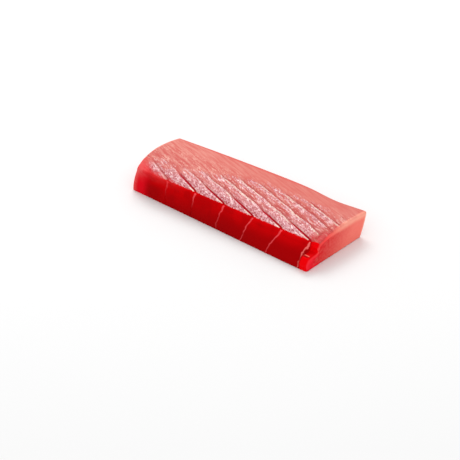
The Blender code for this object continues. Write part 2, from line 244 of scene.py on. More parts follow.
# Pale zone: pale marbling and painted sheen together, the near-white flecks partly painted glints
PALE_LAYERS = (
    (PALE_AND_SHEEN, 1.0, ("speckled",)),
    (SPOT, 0.9, ("pale",), ("grain", 0.48, 0.4)),
    (SPOT, 0.75, ("pale",), ("hatch", 0.46, 0.4)),
    (WHITE_FLECK_AND_GLINT, 0.9, ("pale",), ("hatch", 0.52, 0.62), ("grain", 0.46, 0.56)),
)
RED_END_LAYERS = (
    (RIGHT_RED, 0.7, ("red_right", 17.0, 4.0), ("back", 46.0, 16.0), ("grain", 0.58, 0.42, 0.45, 1.25)),
    (LEFT_RED, 0.8, ("red_left", 24.0, 6.0), ("back", 26.0, 9.0), ("grain", 0.6, 0.4, 0.6, 1.2)),
    (BLUSH, 1.0, ("blush",), ("grain", 0.56, 0.42, 0.45, 1.2)),
)
# Cream crests in front of the seams, lines of painted shade behind them, then the slits' near and far lips,
# partly pale septum and partly painted highlight, and their floors, deeper red with painted shade
SEAM_LAYERS = (
    (CREAM, 1.0, ("ahead", "crest_width", 0.6), ("patch", 0.36, 0.58), MARKED, ("back", 9.0, 15.0),
     ("near",), ("grain", 0.38, 0.52, 0.3, 0.95)),
    (SHADE_LINE, 1.0, ("past", 3.2, 0.6), ("back", 10.0, 16.0), ("strand", 0.35, 0.6, 0.1, 0.8), ("near",)),
    # Near and far lips: pale septum with painted highlight
    (LIP_SEPTUM_AND_HIGHLIGHT, 1.0, ("before", "lip_width", "lip_inner"), *BY_SLIT, ("back", 10.0, 6.0, 0.35, 1.0),
     ("number", 0.0, 0.2, 0.4, 1.0), ("patch", 0.3, 0.6, 0.5, 1.0)),
    (CREAM, 0.5, ("behind", 1.9, 1.1), *BY_SLIT, ("patch", 0.4, 0.6)),
    # Slit floors: deeper red with painted shade
    (SLIT_RED_AND_SHADE, 1.0, ("gash",)),
)
# The rise to a brighter red towards the top edge, which is painted light and shade, random blotches of the
# darker red, the change to the right, then the left corner's bright red and coral, painted light with coral
# streaks, and a darker patch beside it
FRONT_LAYERS = (
    (DEEP_LIT, 1.0, ("back", -12.5, 2.0)),
    (DEEP_SHADED, 0.35, ("blotch", 0.45, 0.6)),
    (LAST_RED_AND_GLOW, 0.14, ("number", 1.0, 5.0)),
    (CORNER_LIT_RED, 0.9, ("left", 29.0, 12.0)),
    (DEEP_SHADED, 0.7, ("left", 14.0, 28.0), ("left", 48.0, 34.0), ("height", 22.0, 14.0),
     ("height", 0.0, 9.0, 0.3, 1.0)),
    (CORNER_CORAL_AND_LIGHT, 1.0, ("corner",), ("height", 0.0, 18.0, 0.75, 1.0)),
)
# The last segment's red, partly its own and partly a painted glow of light through it, the shade over its
# ledge, behind its seam and at its inmost, and a crack there
LAST_LAYERS = (
    (LAST_RED_AND_GLOW, 1.0, LAST_SEGMENT),
    (LAST_DARK, 0.3, LAST_SEGMENT, ("height", 12.8, 14.2), ("height", 18.0, 16.0), ("back", -17.0, -15.5),
     ("back", -3.0, -8.0)),
    (LAST_DARK, 0.7, LAST_SEGMENT, ("behind", 2.2, 0.6), ("height", 9.0, 15.0)),
    (LAST_DARK, 0.8, *INMOST, ("back", -17.2, -16.2), ("back", -13.4, -14.2)),
    (CRACK, 1.0, *INMOST, ("back", -14.4, -14.0), ("back", -12.9, -13.3)),
)
LAST_LINE_LAYERS = ((LAST_PINK, 1.0, ("number", *BEFORE_LAST_SEAM)),)
CUT_LAYERS = (
    (CUT_MIDDLE, 1.0, ("reach", -1.0, 34.0)),
    (CUT_FAR, 1.0, ("reach", 22.0, 58.0)),
    (CUT_STREAK, 0.2, ("band", 0.3, 0.75)),
)
CUT_HIGHLIGHT_LAYERS = ((CUT_HIGHLIGHT_FAR, 1.0, ("back", 5.0, 45.0)),)
# Painted light low at the front of each cut, where it lies in shade
CUT_LOW_LIT_LAYER = (CUT_LOW_LIT, 0.8, ("inner", 9.0, 1.0), ("height", 17.0, 12.0), ("back", 0.0, -8.0))
# Layers whose colour is itself painted, so that only their strength and runs stand here
SEAM_LINE = (0.9, ("line_gap", "line_width", "line_inner"), ("number", -0.5, -0.4), ("pitch", 30.0, 36.0),
             ("patch", 0.25, 0.55, 0.45, 1.0), ("height", "fade_start", "fade_end", "fade_least", 1.0),
             ("number", 0.4, 0.6, 0.45, 1.0))
# Painted highlight round the rim of each cut, and along its edge with the top
CUT_RIM_HIGHLIGHT = (0.75, ("inner", 2.0, 0.1), ("height", 1.0, 8.0))
CUT_COVER = (1.0, ("cut", 0.1, 0.7))
EDGE_HIGHLIGHT = (1.0, ("edge", "edge_width", "edge_inner"), ("height", 10.0, 22.0), ("back", 4.0, 12.0),
          ("top_or_cut",), ("patch", 0.3, 0.6, 0.45, 0.85))

# Light: a large soft one behind and above, on the left, and an even fill
KEY_DIRECTION, KEY_DISTANCE, KEY_SIZE, KEY_POWER = (-0.42, 0.52, 0.74), 2.2, (1.2, 0.9), 22.0
FILL_COLOUR, FILL_STRENGTH = (1.0, 1.0, 1.0, 1.0), 0.92
FLOOR_SIZE, FLOOR_DROP = 12.0, 0.0001

# Camera, placed by where it stands and by its own axes
LENS, SENSOR_WIDTH = 273.9, 36.0
CAMERA_PLACE = (1.91631, -2.37215, 2.27190)
CAMERA_RIGHT = (0.789799, 0.612380, -0.034758)
CAMERA_UP = (-0.346664, 0.492413, 0.798344)
CAMERA_BACK = (0.506005, -0.618482, 0.601198)
CLIP_START, CLIP_END = 0.1, 50.0


# Noise

def noise(x, y, step, seed):
    """Smooth noise from -1 to 1 over the plane, with cells of this size."""
    table = np.random.default_rng(seed).uniform(-1.0, 1.0, (NOISE_CELLS, NOISE_CELLS))
    across, up = np.asarray(x) / step, np.asarray(y) / step
    i, j = np.floor(across).astype(int), np.floor(up).astype(int)
    u, v = smooth_step(0.0, 1.0, across - i), smooth_step(0.0, 1.0, up - j)

    def corner(right, above):
        return table[(i + right) % NOISE_CELLS, (j + above) % NOISE_CELLS]

    lower = mix((corner(0, 0), corner(1, 0)), u)
    upper = mix((corner(0, 1), corner(1, 1)), u)
    return mix((lower, upper), v)


def mix(pair, t):
    return pair[0] + (pair[1] - pair[0]) * t


def midway(pair):
    return mix(pair, 0.5)


def smooth_step(a, b, value):
    t = np.clip((value - a) / (b - a), 0.0, 1.0)
    return t * t * (3.0 - 2.0 * t)


# Form of the block

def seam_positions():
    return FIRST_SEAM_X + SEAM_PITCH * np.arange(SEAMS)


def along(t, y):
    """X of the point at share t of the way between the end cuts, at this Y."""
    left = LEFT_CUT_X + y * math.tan(LEFT_CUT_SKEW)
    left = left - LEFT_CUT_BULGE * (1.0 - (y / BACK_EDGE_Y[0]) ** 2)
    right = RIGHT_CUT_X + y * math.tan(RIGHT_CUT_SKEW)
    return left + (right - left) * t


def share_of(x, y):
    """The t for which along(t, y) is x."""
    left, right = along(0.0, y), along(1.0, y)
    return (x - left) / (right - left)


def corner_turn(t):
    """1 at the left end, 0 past the rounded front left corner."""
    run = CORNER_LENGTH / (RIGHT_CUT_X - LEFT_CUT_X)
    return np.maximum(0.0, 1.0 - t / run) ** 2


def last_segment(x):
    """0 up to the last seam and 1 past it."""
    return smooth_step(0.0, 2.0 * SEAM_HALF_WIDTH, x - seam_positions()[-1])


def bow_between_seams(x):
    """0 at each seam and 1 half way between two, and from there to the left end."""
    share = np.mod((x - FIRST_SEAM_X) / SEAM_PITCH, 1.0)
    bow = 1.0 - (2.0 * share - 1.0) ** 2
    return np.where(x < FIRST_SEAM_X - 0.5 * SEAM_PITCH, 1.0, bow)


def front_edge_of(t):
    """Y of the front edge."""
    edge = mix(FRONT_EDGE_Y, t) + CORNER_SETBACK * corner_turn(t)
    edge_x = along(t, edge)
    return edge - SCALLOP * bow_between_seams(edge_x) + LAST_SETBACK * last_segment(edge_x)


def aslant(back):
    """How far a seam has run aslant at this distance back, and the share of its full slope."""
    share = np.clip((back - SEAM_START + SEAM_BEND) / (2.0 * SEAM_BEND), 0.0, 1.0)
    return np.maximum(back - SEAM_START, SEAM_BEND * share ** 2), share


def slope_of(index):
    """Slope of the seam with this number, which need not be whole."""
    return SEAM_SLOPE - SLOPE_DROP * np.clip(SLOPED_LESS - index, 0.0, SLOPED_LESS)


def seam_number(x, back):
    """Number of the seam line through this place, which is whole on a seam."""
    run = aslant(back)[0]
    front_x = x + SEAM_SLOPE * run
    for _ in range(SLOPE_PASSES):
        front_x = x + slope_of((front_x - FIRST_SEAM_X) / SEAM_PITCH) * run
    return (front_x - FIRST_SEAM_X) / SEAM_PITCH


def pillow(t, y, edge_y):
    """Rise of the top at share t and this Y, which follows the seams back from the front edge."""
    number = seam_number(along(t, y), np.maximum(y - mix(FRONT_EDGE_Y, t), 0.0))
    front_x = FIRST_SEAM_X + SEAM_PITCH * number
    fade = 1.0 - smooth_step(0.0, PILLOW_REACH, y - edge_y)
    return PILLOW * bow_between_seams(front_x) * fade


def section_corners(t):
    """Front foot, front edge, back edge and back foot of the section at t, as (y, z)."""
    back_edge = mix(BACK_EDGE_Y, t) + BACK_BOW * 4.0 * t * (1.0 - t)
    dent = ((along(t, back_edge) - BACK_DENT_X) / BACK_DENT_RUN) ** 2
    back_edge = back_edge - BACK_DENT * math.exp(-dent)
    return (
        (mix(FRONT_FOOT_Y, t), 0.0),
        (front_edge_of(t), mix(FRONT_EDGE_Z, t) - CORNER_DROP * corner_turn(t)),
        (back_edge, mix(BACK_EDGE_Z, t)),
        (mix(BACK_FOOT_Y, t), 0.0),
    )


def even(steps):
    return np.linspace(0.0, 1.0, steps + 1)


def crowded(steps):
    """Shares from 0 to 1 that lie closer together near 0."""
    share = even(steps)
    return TOP_EVEN * share + (1.0 - TOP_EVEN) * share ** TOP_CROWD


def bowed(start, end, bow, shares, lean=1.0):
    """Points from start to end, ends included, bowed to the left of the way by bow."""
    start, end = np.array(start), np.array(end)
    way = end - start
    normal = np.array([-way[1], way[0]]) / np.hypot(*way)
    s = shares[:, None]
    leant = s ** lean
    return start + way * s + normal * bow * 4.0 * leant * (1.0 - leant)


def rounded(before, corner, after, radius, steps=ROUND_STEPS):
    """Points of the curve that rounds a corner, without its two ends, and those ends."""
    before, corner, after = (np.array(p) for p in (before, corner, after))
    start = corner + (before - corner) / np.hypot(*(before - corner)) * radius
    end = corner + (after - corner) / np.hypot(*(after - corner)) * radius
    s = even(steps)[1:-1, None]
    return start, (1 - s) ** 2 * start + 2 * s * (1 - s) * corner + s * s * end, end


def crease(x):
    """Depth of the seam crease in the front face."""
    gap = np.abs(seam_positions() - x).min()
    return SEAM_CREASE * max(0.0, 1.0 - gap / SEAM_HALF_WIDTH)


def bridged(y, z, reach):
    """Heights with every hollow of the profile's first stretch bridged over."""
    hull = []
    for point in zip(y, z):
        while len(hull) > 1:
            (ay, az), (by, bz) = hull[-2:]
            if (by - ay) * (point[1] - az) < (bz - az) * (point[0] - ay):
                break
            hull.pop()
        hull.append(point)
    over = np.interp(y, *np.array(hull).T)
    return np.where(y < y[0] + reach, over, z)


def front_relief(points, x, inset):
    """Presses the seam creases and the last segment's ledge into the front face."""
    height = points[:, 1] + inset
    rise = height / midway(FRONT_EDGE_Z)
    points[:, 0] += crease(x) * smooth_step(0.0, CREASE_RISE, rise)
    upper = smooth_step(LEDGE_HEIGHT - LEDGE_HALF_BAND, LEDGE_HEIGHT + LEDGE_HALF_BAND, height)
    inward = LEDGE_IN * upper * (1.0 - smooth_step(*LEDGE_FADE, rise))
    outward = LEDGE_OUT * (1.0 - upper) * smooth_step(0.0, BULGE_RISE, rise)
    points[:, 0] += last_segment(x) * (inward - outward)


def section(t, inset):
    """The ring's stretches at share t, each a list of (y, z), drawn in by inset near an end cut."""
    foot, edge, back, heel = section_corners(t)
    foot = (foot[0] + inset, FOOT_LIFT * inset)
    edge = (edge[0] + inset, edge[1] - inset)
    back = (back[0] - inset, back[1] - inset)
    heel = (heel[0] - inset, FOOT_LIFT * inset)
    foot_start, foot_arc, foot_end = rounded(heel, foot, edge, FOOT_ROUND)
    edge_start, edge_arc, edge_end = rounded(foot, edge, back, FRONT_ROUND, EDGE_STEPS)
    back_start, back_arc, back_end = rounded(edge, back, heel, BACK_ROUND)
    heel_start, heel_arc, heel_end = rounded(back, heel, foot, FOOT_ROUND)
    front = bowed(foot_end, edge_start, mix(FRONT_BELLY, t), even(FRONT_STEPS))
    front_relief(front, along(t, edge[0]), inset)
    top = bowed(edge_end, back_start, mix(CROWN, t), crowded(TOP_STEPS), CROWN_LEAN)
    edge_arc[:, 0] += crease(along(t, edge[0])) * (1.0 - even(EDGE_STEPS)[1:-1])
    upper = np.concatenate([edge_arc, top])
    upper[:, 1] += pillow(t, upper[:, 0], edge[0])
    upper[:, 1] = bridged(upper[:, 0], upper[:, 1], BRIDGE_REACH)
    edge_arc, top = upper[:len(edge_arc)], upper[len(edge_arc):]
    rear = bowed(back_end, heel_start, BACK_BELLY, even(BACK_STEPS))
    base = bowed(heel_end, foot_start, 0.0, even(BOTTOM_STEPS))
    return front, edge_arc, top, back_arc, rear, heel_arc, base, foot_arc


STRETCHES = ("front", "edge", "top", "back_arc", "rear", "heel_arc", "base", "foot_arc")


def stations():
    """(t, inset) of every section from the left end to the right."""
    length = RIGHT_CUT_X - LEFT_CUT_X
    angles = np.linspace(0.0, 0.5 * math.pi, END_STEPS + 1)
    left = [(LEFT_END_ROUND / length * (1 - math.sin(a)), LEFT_END_ROUND * (1 - math.cos(a)))
            for a in angles[::-1]]
    right = [(1 - RIGHT_END_ROUND / length * (1 - math.sin(a)),
              RIGHT_END_ROUND * (1 - math.cos(a))) for a in angles]
    edge_y = midway(FRONT_EDGE_Y)
    stops = [share_of(x + off, edge_y) for x in seam_positions()
             for off in (-SEAM_HALF_WIDTH, 0.0, SEAM_HALF_WIDTH)]
    stops = [left[-1][0]] + stops + [right[0][0]]
    between = []
    for a, b in zip(stops[:-1], stops[1:]):
        steps = max(1, round((b - a) * length / STATION_STEP))
        between += list(np.linspace(a, b, steps + 1)[1:])
    return left + [(t, 0.0) for t in between[:-1]] + right


def place(ring, t):
    """The ring's points in space, leaning back down the front face as the seams do."""
    y, z = ring[:, 0], ring[:, 1]
    drop = 1.0 - np.clip(z / mix(FRONT_EDGE_Z, t), 0.0, 1.0)
    wave = noise(z, np.full_like(z, WAVE_CHANGE * t), *WAVE_NOISE) * smooth_step(0.0, WAVE_START, drop)
    bend = mix((1.0, LAST_BEND), smooth_step(*LAST_BEND_SHARES, t))
    lean = mix(SEAM_LEAN, t) * drop ** bend + FRONT_WAVE * wave
    near_front = 1.0 - smooth_step(mix(FRONT_FOOT_Y, t), 0.0, y)
    inside = smooth_step(0.0, LEAN_FADE_SHARE, min(t, 1.0 - t))
    x = along(t, y) - lean * near_front * inside
    return np.column_stack([x, y, z])


class Block:
    """The loin's grid of points: rings from the middle of the left cut round to that of the right."""

    def __init__(self):
        shell, shares, insets = [], [], []
        for t, inset in stations():
            parts = section(t, inset)
            shell.append(place(np.concatenate(parts), t))
            shares.append(t)
            insets.append(inset)
        ends = np.cumsum([0] + [len(part) for part in parts])
        self.span = {name: slice(a, b) for name, a, b in zip(STRETCHES, ends[:-1], ends[1:])}
        left, right = self.cap(shell[0], 0.0), self.cap(shell[-1], 1.0)
        self.points = np.array(left[::-1] + shell + right)
        self.t = np.array([0.0] * CAP_RINGS + shares + [1.0] * CAP_RINGS)[:, None]
        self.shell = slice(CAP_RINGS, CAP_RINGS + len(shell))
        insets = np.array(insets)
        rounds = np.where(np.array(shares) < 0.5, LEFT_END_ROUND, RIGHT_END_ROUND)
        cut = np.concatenate([np.ones(CAP_RINGS), insets / rounds, np.ones(CAP_RINGS)])
        self.measure()
        self.cut = np.broadcast_to(cut[:, None], self.x.shape)
        steps = np.arange(1, CAP_RINGS + 1) * CAP_SHARE / CAP_RINGS
        inner = np.concatenate([steps[::-1], np.zeros(len(shell)), steps])
        self.inner = np.broadcast_to(inner[:, None] * 0.5 * midway(FRONT_EDGE_Z), self.x.shape)
        self.top = self.on_top()

    def cap(self, ring, t):
        """Rings that lead inwards from the outer ring of an end cut."""
        height = ring[:, 2].max()
        low = ring[:, 1].min() + CAP_ENDS[0] * height
        high = ring[:, 1].max() - CAP_ENDS[1] * height
        middle = np.clip(ring[:, 1], low, high)
        middle = np.column_stack([middle, np.full(len(ring), CAP_MIDDLE * height)])
        rings = []
        for step in range(1, CAP_RINGS + 1):
            inner = ring[:, 1:] + (middle - ring[:, 1:]) * CAP_SHARE * step / CAP_RINGS
            rings.append(np.column_stack([along(t, inner[:, 0]), inner]))
        return rings

    def measure(self):
        """Each point's place in the pattern of the seams."""
        self.x, self.y, self.z = np.moveaxis(self.points, 2, 0).copy()
        self.back = self.y - front_edge_of(self.t)
        line_y = mix(FRONT_EDGE_Y, self.t)
        depth = np.maximum(midway(FRONT_EDGE_Z) - self.z, 0.0)
        back = np.maximum(self.y - line_y + DIP * depth, 0.0)
        self.seam_back = back
        number = seam_number(along(self.t, np.maximum(self.y, line_y)), back)
        stray = self.noise(WANDER_NOISE) + WANDER_FINE * self.noise(WANDER_FINE_NOISE)
        self.number = number + WANDER * stray * smooth_step(*WANDER_START, back)
        self.turned = aslant(back)[1]
        self.pitch = SEAM_PITCH / np.hypot(1.0, slope_of(number) * self.turned)
        share = np.mod(self.number, 1.0)
        self.behind, self.before = share * self.pitch, (1.0 - share) * self.pitch
        self.from_left = self.x - along(0.0, self.y)
        self.from_right = along(1.0, self.y) - self.x

    def noise(self, settings):
        return noise(self.x, self.y, *settings)

    def weights(self, **stretches):
        """One value for each point of a ring, from what is given for whole stretches."""
        weight = np.zeros(self.points.shape[1])
        for name, value in stretches.items():
            span = self.span[name]
            weight[span] = value(np.linspace(0.0, 1.0, span.stop - span.start))
        return np.broadcast_to(weight, self.x.shape)

    def on_top(self):
        """1 on the top, falling to 0 over the two rounded edges."""
        return self.weights(edge=lambda s: smooth_step(*TOP_START, s), top=np.ones_like,
                            back_arc=lambda s: 1.0 - s)

    def slit(self):
        """Depth of the slits, as a share of the deepest."""
        whole = np.floor(self.number)
        run = (self.seam_back - SEAM_START) / SLIT_LENGTH_Y
        fade = 1.0 - SLIT_FADE * np.clip(run, 0.0, 1.0) ** SLIT_FADE_POWER
        fade = fade * (1.0 - smooth_step(*SLIT_END, run))
        bank = mix((SLIT_WALL, SLIT_BANK * fade + SLIT_WALL), self.turned)
        near = np.clip(1.0 - self.before / bank, 0.0, 1.0) * ((whole >= -1) & (whole < SEAMS - 1))
        far = np.clip(1.0 - self.behind / SLIT_WALL, 0.0, 1.0) * ((whole >= 0) & (whole < SEAMS))
        return np.minimum(np.maximum(near, far) * SLIT_FLAT, 1.0) * fade

    def crest(self):
        """Low step along every seam: it rises towards the seam and drops behind it."""
        zone = smooth_step(*CREST_START, self.back)
        zone = zone * (1.0 - CREST_LOSS * smooth_step(*CREST_END, self.back))
        zone = zone * (1.0 + CREST_CHANGE * self.noise(CREST_NOISE))
        return zone * (np.exp(-self.before / CREST_RUN) - np.exp(-self.behind / CREST_RUN))

    def normals(self):
        """Outward normals of the grid."""
        lengthwise = np.gradient(self.points, axis=0)
        closed = np.concatenate([self.points[:, -1:], self.points, self.points[:, :1]], axis=1)
        found = np.cross(lengthwise, closed[:, 2:] - closed[:, :-2])
        return found / np.maximum(np.linalg.norm(found, axis=2, keepdims=True), TINY)

    def raise_relief(self):
        """Moves the top's points out by its crests and grain, and in by its slits."""
        calm = smooth_step(*CALM_RUN, np.minimum(self.from_left, self.from_right))
        height = CREST * self.crest() * self.top * calm * self.sheen()
        height = height - SLIT_DEPTH * self.slit() * self.top
        grain = self.noise(GRAIN_NOISE) + GRAIN_FINE * self.noise(GRAIN_FINE_NOISE)
        smooth_back = 1.0 - smooth_step(*GRAIN_END, self.back)
        height = height + GRAIN_HEIGHT * grain * self.top * calm * smooth_back
        self.points = self.points + self.normals() * height[..., None]

    def sheen(self):
        """1 where the wet pale zone of the top, partly pale marbling and partly painted sheen, is
        strongest, 0 past its far limit.
        """
        limit = SHEEN_LIMIT + SHEEN_RISE * smooth_step(*SHEEN_RUN, self.x)
        limit = limit - SHEEN_FALL * smooth_step(*SHEEN_FALL_RUN, self.x)
        return 1.0 - smooth_step(limit - SHEEN_FADE, limit + SHEEN_PAST * SHEEN_FADE, self.y)

    def rim(self):
        """Distance behind the line where the red front gives way to the pale top."""
        near_seam = 1.0 - bow_between_seams(FIRST_SEAM_X + SEAM_PITCH * self.number)
        line = RIM_BACK + RIM_NOTCH * near_seam ** RIM_NOTCH_POWER
        line = line + RIM_CORNER * (1.0 - smooth_step(*RIM_CORNER_RUN, self.x))
        line = line - RIM_LAST * smooth_step(*RIM_LAST_RUN, self.number)
        return self.back - line

    def fields(self):
        """What the flesh's material reads at each point; lengths are in millimetres."""
        plain = {
            "number": self.number, "sheen": self.sheen(), "slit": self.slit() * self.top,
            "top": self.top, "cut": self.cut,
        }
        lengths = {
            "pitch": self.pitch, "back": self.back, "rim": self.rim(), "inner": self.inner,
            "rear": mix(BACK_EDGE_Y, self.t) - self.y, "left": self.from_left, "right": self.from_right,
        }
        return plain | {name: length * MILLIMETRES for name, length in lengths.items()}

    def faces(self):
        """Quads of the rings, each top one split along the run of the seams, and the two closing ones."""
        rings, count = self.points.shape[:2]
        index = np.arange(rings * count).reshape(rings, count)
        ahead = np.roll(index, -1, axis=1)
        quads = np.stack([index[:-1], index[1:], ahead[1:], ahead[:-1]], axis=-1)
        split = np.zeros(count, bool)
        split[self.span["edge"].start:self.span["top"].stop] = True
        plain = quads[:, ~split].reshape(-1, 4)
        top = quads[:, split].reshape(-1, 4)
        halves = np.concatenate([top[:, [0, 1, 3]], top[:, [1, 2, 3]]])
        ends = [list(index[0]), list(index[-1][::-1])]
        return [list(face) for face in plain] + [list(face) for face in halves] + ends

    def layout(self):
        """How far along each ring lies, how far round each point of a ring, and where that starts."""
        steps = np.linalg.norm(np.diff(self.points, axis=0), axis=2).mean(axis=1)
        run = np.concatenate([[0.0], np.cumsum(steps)])
        run = run - run[self.shell.start]
        closed = np.concatenate([self.points, self.points[:, :1]], axis=1)[self.shell]
        ring = np.linalg.norm(np.diff(closed, axis=1), axis=2).mean(axis=0)
        start = self.span["base"].start
        rolled = np.concatenate([[0.0], np.cumsum(np.roll(ring, -start))])
        return run, rolled, start


def add_mesh(name, block):
    count = block.points.shape[1]
    data = bpy.data.meshes.new(name)
    data.from_pydata([tuple(p) for p in block.points.reshape(-1, 3)], [], block.faces())
    for field, values in block.fields().items():
        stored = data.attributes.new(field, "FLOAT", "POINT")
        stored.data.foreach_set("value", values.astype(np.float32).ravel())
    add_layout(data, block, count)
    data.shade_smooth()
    made = bpy.data.objects.new(name, data)
    bpy.context.scene.collection.objects.link(made)
    return made


def whole_numbers(items, name):
    values = np.zeros(len(items), int)
    items.foreach_get(name, values)
    return values


def add_layout(data, block, count):
    """Writes the flat layout into the mesh: the shell along the bottom, the two cuts above it."""
    run, rolled, start = block.layout()
    loops = whole_numbers(data.loops, "vertex_index")
    starts = whole_numbers(data.polygons, "loop_start")
    totals = whole_numbers(data.polygons, "loop_total")
    face = np.repeat(np.arange(len(starts)), totals)
    ring, spot = loops // count, loops % count
    first = np.minimum.reduceat(ring, starts)[face]
    left, right = first < block.shell.start, first >= block.shell.stop - 1
    spot_from_start = (spot - start) % count
    wraps = np.maximum.reduceat(spot_from_start, starts)[face] == count - 1
    wraps &= np.minimum.reduceat(spot_from_start, starts)[face] == 0
    spot_from_start = np.where(wraps & (spot_from_start == 0), count, spot_from_start)
    place_u, place_v = run[ring], rolled[spot_from_start]
    points = block.points.reshape(-1, 3)[loops]
    above = rolled[-1] + LAYOUT_GAP
    place_u = np.where(left, points[:, 1] - block.y.min(), place_u)
    place_u = np.where(right, points[:, 1] + np.ptp(block.y) + LAYOUT_GAP - block.y.min(), place_u)
    place_v = np.where(left | right, above + points[:, 2], place_v)
    size = max(run[block.shell][-1], above + block.z.max()) + 2.0 * LAYOUT_GAP
    uv = (np.column_stack([place_u, place_v]) + LAYOUT_GAP) / size
    layer = data.uv_layers.new(name="OFBake")
    layer.data.foreach_set("uv", uv.astype(np.float32).ravel())


# Looks

class Shader:
    """Builds the node tree of one material."""

    def __init__(self, name):
        self.material = bpy.data.materials.new(name)
        self.material.use_nodes = True
        self.tree = self.material.node_tree
        self.surface = self.tree.nodes["Principled BSDF"]

    def feed(self, socket, value):
        if isinstance(value, bpy.types.NodeSocket):
            self.tree.links.new(value, socket)
        else:
            socket.default_value = value

    def set_inputs(self, inputs):
        for name, value in inputs.items():
            self.feed(self.surface.inputs[name], value)

    def node(self, kind, inputs, **settings):
        made = self.tree.nodes.new("ShaderNode" + kind)
        for key, value in settings.items():
            setattr(made, key, value)
        for key, value in inputs.items():
            self.feed(made.inputs[key], value)
        return made

    def attribute(self, name):
        return self.node("Attribute", {}, attribute_name=name).outputs["Fac"]

    def math(self, operation, a, b=0.0):
        return self.node("Math", {0: a, 1: b}, operation=operation).outputs[0]

    def times(self, *values):
        found = values[0]
        for value in values[1:]:
            found = self.math("MULTIPLY", found, value)
        return found

    def plus(self, *values):
        found = values[0]
        for value in values[1:]:
            found = self.math("ADD", found, value)
        return found

    def less(self, value):
        """1 minus the value."""
        return self.math("SUBTRACT", 1.0, value)

    def step(self, value, a, b, low=0.0, high=1.0):
        """Smooth step of the value from a to b."""
        inputs = {"Value": value, "From Min": a, "From Max": b, "To Min": low, "To Max": high}
        return self.node("MapRange", inputs, interpolation_type="SMOOTHSTEP").outputs["Result"]

    def mix(self, share, a, b):
        return self.node("MixRGB", {"Fac": share, "Color1": a, "Color2": b}).outputs["Color"]

    def noise(self, vector, scale, detail, roughness):
        inputs = {"Vector": vector, "Scale": scale, "Detail": detail, "Roughness": roughness}
        return self.node("TexNoise", inputs).outputs["Fac"]

    def height(self):
        """Height above the base in millimetres."""
        place = self.node("TexCoord", {}).outputs["Object"]
        return self.times(self.node("SeparateXYZ", {"Vector": place}).outputs["Z"], MILLIMETRES)

    def turned(self, angle, stretch):
        """Place in millimetres, turned in plan and drawn out along the new X."""
        place = self.node("TexCoord", {}).outputs["Object"]
        turned = self.node("VectorRotate", {"Vector": place, "Angle": angle},
                           rotation_type="Z_AXIS").outputs["Vector"]
        inputs = {"Vector": turned, "Scale": (MILLIMETRES / stretch, MILLIMETRES, MILLIMETRES)}
        return self.node("Mapping", inputs).outputs["Vector"]


